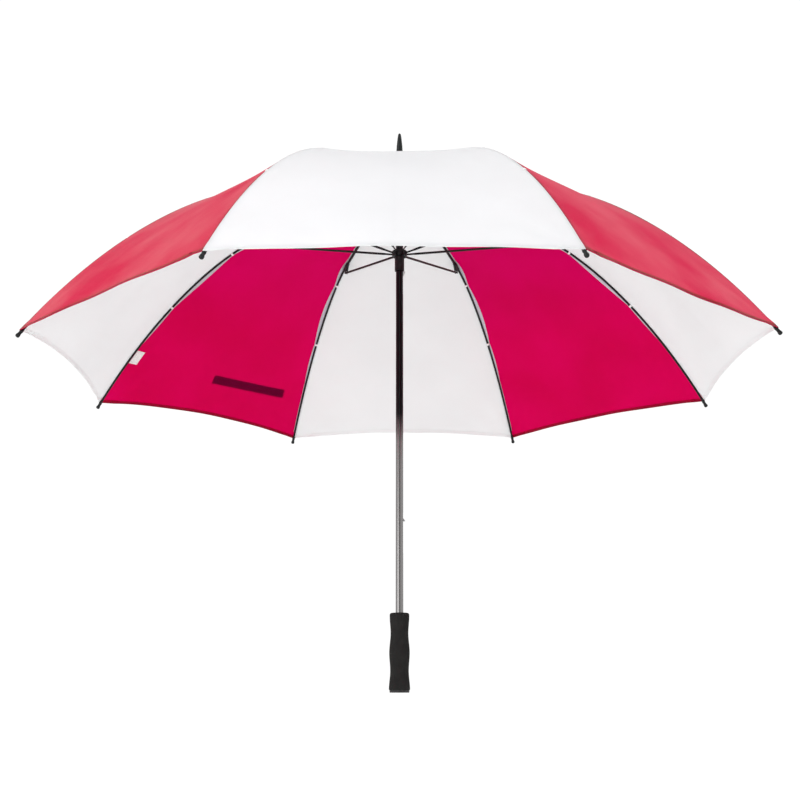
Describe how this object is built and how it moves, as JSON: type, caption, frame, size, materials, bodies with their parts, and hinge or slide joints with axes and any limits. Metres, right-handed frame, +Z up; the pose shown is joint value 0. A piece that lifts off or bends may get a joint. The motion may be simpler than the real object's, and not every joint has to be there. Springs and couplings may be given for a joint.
{
  "type": "golf umbrella",
  "caption": "Open folding golf umbrella with red and white panels, rib and stretcher frame, sliding runner and a straight foam grip.",
  "frame": {"origin": "centre of the flat end of the grip, the lowest point of the upright open umbrella", "axes": "+Z runs up the shaft to the ferrule; -Y is the front, the white panel_1; +X is the side of the spring catches"},
  "size_m": [1.2044, 1.2044, 1.0105],
  "materials": {
    "red_fabric": "satin",
    "white_fabric": "satin",
    "fibreglass": "satin",
    "plastic": "satin",
    "shaft_metal": "satin",
    "spring_steel": "satin",
    "grip_foam": "matte",
    "strap_webbing": "matte",
    "label_cloth": "matte"
  },
  "bodies": {
    "frame": {"shaft": "shaft_metal", "top_notch": "plastic", "top_notch_wire": "spring_steel", "crown_cap": "plastic", "ferrule": "plastic", "grip": "grip_foam", "grip_end_cap": "plastic"},
    "runner": {"runner": "plastic"},
    "top_catch": {"top_spring_catch": "spring_steel"},
    "bottom_catch": {"bottom_spring_catch": "spring_steel"},
    "inner_1": {"inner_rib_1": "fibreglass", "joint_collar_1": "plastic"},
    "outer_1": {"outer_rib_1": "fibreglass", "rib_tip_1": "plastic", "panel_1": "white_fabric"},
    "strut_1": {"stretcher_1": "fibreglass"},
    "inner_2": {"inner_rib_2": "fibreglass", "joint_collar_2": "plastic"},
    "outer_2": {"outer_rib_2": "fibreglass", "rib_tip_2": "plastic", "panel_2": "red_fabric"},
    "strut_2": {"stretcher_2": "fibreglass"},
    "inner_3": {"inner_rib_3": "fibreglass", "joint_collar_3": "plastic"},
    "outer_3": {"outer_rib_3": "fibreglass", "rib_tip_3": "plastic", "panel_3": "white_fabric"},
    "strut_3": {"stretcher_3": "fibreglass"},
    "inner_4": {"inner_rib_4": "fibreglass", "joint_collar_4": "plastic"},
    "outer_4": {"outer_rib_4": "fibreglass", "rib_tip_4": "plastic", "panel_4": "red_fabric"},
    "strut_4": {"stretcher_4": "fibreglass"},
    "inner_5": {"inner_rib_5": "fibreglass", "joint_collar_5": "plastic"},
    "outer_5": {"outer_rib_5": "fibreglass", "rib_tip_5": "plastic", "panel_5": "white_fabric"},
    "strut_5": {"stretcher_5": "fibreglass"},
    "inner_6": {"inner_rib_6": "fibreglass", "joint_collar_6": "plastic"},
    "outer_6": {"outer_rib_6": "fibreglass", "rib_tip_6": "plastic", "panel_6": "red_fabric", "closing_strap": "strap_webbing"},
    "strut_6": {"stretcher_6": "fibreglass"},
    "inner_7": {"inner_rib_7": "fibreglass", "joint_collar_7": "plastic"},
    "outer_7": {"outer_rib_7": "fibreglass", "rib_tip_7": "plastic", "panel_7": "white_fabric", "care_label": "label_cloth"},
    "strut_7": {"stretcher_7": "fibreglass"},
    "inner_8": {"inner_rib_8": "fibreglass", "joint_collar_8": "plastic"},
    "outer_8": {"outer_rib_8": "fibreglass", "rib_tip_8": "plastic", "panel_8": "red_fabric"},
    "strut_8": {"stretcher_8": "fibreglass"}
  },
  "joints": [
    {"name": "runner_slide", "type": "slide", "parent": "frame", "child": "runner", "axis": [0, 0, -1], "range_m": [0, 0.45853]},
    {"name": "top_catch_press", "type": "slide", "parent": "frame", "child": "top_catch", "axis": [-1, 0, 0], "range_m": [0, 0.0036], "stiffness_N_per_m": 600, "springref_m": -0.001},
    {"name": "bottom_catch_press", "type": "slide", "parent": "frame", "child": "bottom_catch", "axis": [-1, 0, 0], "range_m": [0, 0.0036], "stiffness_N_per_m": 600, "springref_m": -0.001},
    {"name": "rib_1_fold", "type": "hinge", "parent": "frame", "child": "inner_1", "pos_m": [-0.00402, -0.0097, 0.8943], "axis": [0.9239, -0.3827, 0], "range_deg": [0, 75.5]},
    {"name": "rib_1_flex", "type": "hinge", "parent": "inner_1", "child": "outer_1", "pos_m": [-0.11282, -0.27237, 0.84672], "axis": [0.9239, -0.3827, 0], "range_deg": [-25.01, 0], "deforming": ["panel_1"]},
    {"name": "strut_1_swing", "type": "hinge", "parent": "inner_1", "child": "strut_1", "pos_m": [-0.11251, -0.27162, 0.834], "axis": [0.9239, -0.3827, 0], "range_deg": [-151, 0]},
    {"name": "rib_2_fold", "type": "hinge", "parent": "frame", "child": "inner_2", "pos_m": [0.00402, -0.0097, 0.8943], "axis": [0.9239, 0.3827, 0], "range_deg": [0, 75.5]},
    {"name": "rib_2_flex", "type": "hinge", "parent": "inner_2", "child": "outer_2", "pos_m": [0.11282, -0.27237, 0.84672], "axis": [0.9239, 0.3827, 0], "range_deg": [-25.01, 0], "deforming": ["panel_2"]},
    {"name": "strut_2_swing", "type": "hinge", "parent": "inner_2", "child": "strut_2", "pos_m": [0.11251, -0.27162, 0.834], "axis": [0.9239, 0.3827, 0], "range_deg": [-151, 0]},
    {"name": "rib_3_fold", "type": "hinge", "parent": "frame", "child": "inner_3", "pos_m": [0.0097, -0.00402, 0.8943], "axis": [0.3827, 0.9239, 0], "range_deg": [0, 75.5]},
    {"name": "rib_3_flex", "type": "hinge", "parent": "inner_3", "child": "outer_3", "pos_m": [0.27237, -0.11282, 0.84672], "axis": [0.3827, 0.9239, 0], "range_deg": [-25.01, 0], "deforming": ["panel_3"]},
    {"name": "strut_3_swing", "type": "hinge", "parent": "inner_3", "child": "strut_3", "pos_m": [0.27162, -0.11251, 0.834], "axis": [0.3827, 0.9239, 0], "range_deg": [-151, 0]},
    {"name": "rib_4_fold", "type": "hinge", "parent": "frame", "child": "inner_4", "pos_m": [0.0097, 0.00402, 0.8943], "axis": [-0.3827, 0.9239, 0], "range_deg": [0, 75.5]},
    {"name": "rib_4_flex", "type": "hinge", "parent": "inner_4", "child": "outer_4", "pos_m": [0.27237, 0.11282, 0.84672], "axis": [-0.3827, 0.9239, 0], "range_deg": [-25.01, 0], "deforming": ["panel_4"]},
    {"name": "strut_4_swing", "type": "hinge", "parent": "inner_4", "child": "strut_4", "pos_m": [0.27162, 0.11251, 0.834], "axis": [-0.3827, 0.9239, 0], "range_deg": [-151, 0]},
    {"name": "rib_5_fold", "type": "hinge", "parent": "frame", "child": "inner_5", "pos_m": [0.00402, 0.0097, 0.8943], "axis": [-0.9239, 0.3827, 0], "range_deg": [0, 75.5]},
    {"name": "rib_5_flex", "type": "hinge", "parent": "inner_5", "child": "outer_5", "pos_m": [0.11282, 0.27237, 0.84672], "axis": [-0.9239, 0.3827, 0], "range_deg": [-25.01, 0], "deforming": ["panel_5"]},
    {"name": "strut_5_swing", "type": "hinge", "parent": "inner_5", "child": "strut_5", "pos_m": [0.11251, 0.27162, 0.834], "axis": [-0.9239, 0.3827, 0], "range_deg": [-151, 0]},
    {"name": "rib_6_fold", "type": "hinge", "parent": "frame", "child": "inner_6", "pos_m": [-0.00402, 0.0097, 0.8943], "axis": [-0.9239, -0.3827, 0], "range_deg": [0, 75.5]},
    {"name": "rib_6_flex", "type": "hinge", "parent": "inner_6", "child": "outer_6", "pos_m": [-0.11282, 0.27237, 0.84672], "axis": [-0.9239, -0.3827, 0], "range_deg": [-25.01, 0], "deforming": ["panel_6", "closing_strap"]},
    {"name": "strut_6_swing", "type": "hinge", "parent": "inner_6", "child": "strut_6", "pos_m": [-0.11251, 0.27162, 0.834], "axis": [-0.9239, -0.3827, 0], "range_deg": [-151, 0]},
    {"name": "rib_7_fold", "type": "hinge", "parent": "frame", "child": "inner_7", "pos_m": [-0.0097, 0.00402, 0.8943], "axis": [-0.3827, -0.9239, 0], "range_deg": [0, 75.5]},
    {"name": "rib_7_flex", "type": "hinge", "parent": "inner_7", "child": "outer_7", "pos_m": [-0.27237, 0.11282, 0.84672], "axis": [-0.3827, -0.9239, 0], "range_deg": [-25.01, 0], "deforming": ["panel_7", "care_label"]},
    {"name": "strut_7_swing", "type": "hinge", "parent": "inner_7", "child": "strut_7", "pos_m": [-0.27162, 0.11251, 0.834], "axis": [-0.3827, -0.9239, 0], "range_deg": [-151, 0]},
    {"name": "rib_8_fold", "type": "hinge", "parent": "frame", "child": "inner_8", "pos_m": [-0.0097, -0.00402, 0.8943], "axis": [0.3827, -0.9239, 0], "range_deg": [0, 75.5]},
    {"name": "rib_8_flex", "type": "hinge", "parent": "inner_8", "child": "outer_8", "pos_m": [-0.27237, -0.11282, 0.84672], "axis": [0.3827, -0.9239, 0], "range_deg": [-25.01, 0], "deforming": ["panel_8"]},
    {"name": "strut_8_swing", "type": "hinge", "parent": "inner_8", "child": "strut_8", "pos_m": [-0.27162, -0.11251, 0.834], "axis": [0.3827, -0.9239, 0], "range_deg": [-151, 0]}
  ],
  "couplings": [
    {"joint": "rib_1_fold", "follows": "runner_slide", "rad_per_m": 2.8735},
    {"joint": "rib_1_flex", "follows": "runner_slide", "rad_per_m": -0.95159},
    {"joint": "strut_1_swing", "follows": "runner_slide", "rad_per_m": -5.747},
    {"joint": "rib_2_fold", "follows": "runner_slide", "rad_per_m": 2.8735},
    {"joint": "rib_2_flex", "follows": "runner_slide", "rad_per_m": -0.95159},
    {"joint": "strut_2_swing", "follows": "runner_slide", "rad_per_m": -5.747},
    {"joint": "rib_3_fold", "follows": "runner_slide", "rad_per_m": 2.8735},
    {"joint": "rib_3_flex", "follows": "runner_slide", "rad_per_m": -0.95159},
    {"joint": "strut_3_swing", "follows": "runner_slide", "rad_per_m": -5.747},
    {"joint": "rib_4_fold", "follows": "runner_slide", "rad_per_m": 2.8735},
    {"joint": "rib_4_flex", "follows": "runner_slide", "rad_per_m": -0.95159},
    {"joint": "strut_4_swing", "follows": "runner_slide", "rad_per_m": -5.747},
    {"joint": "rib_5_fold", "follows": "runner_slide", "rad_per_m": 2.8735},
    {"joint": "rib_5_flex", "follows": "runner_slide", "rad_per_m": -0.95159},
    {"joint": "strut_5_swing", "follows": "runner_slide", "rad_per_m": -5.747},
    {"joint": "rib_6_fold", "follows": "runner_slide", "rad_per_m": 2.8735},
    {"joint": "rib_6_flex", "follows": "runner_slide", "rad_per_m": -0.95159},
    {"joint": "strut_6_swing", "follows": "runner_slide", "rad_per_m": -5.747},
    {"joint": "rib_7_fold", "follows": "runner_slide", "rad_per_m": 2.8735},
    {"joint": "rib_7_flex", "follows": "runner_slide", "rad_per_m": -0.95159},
    {"joint": "strut_7_swing", "follows": "runner_slide", "rad_per_m": -5.747},
    {"joint": "rib_8_fold", "follows": "runner_slide", "rad_per_m": 2.8735},
    {"joint": "rib_8_flex", "follows": "runner_slide", "rad_per_m": -0.95159},
    {"joint": "strut_8_swing", "follows": "runner_slide", "rad_per_m": -5.747}
  ]
}
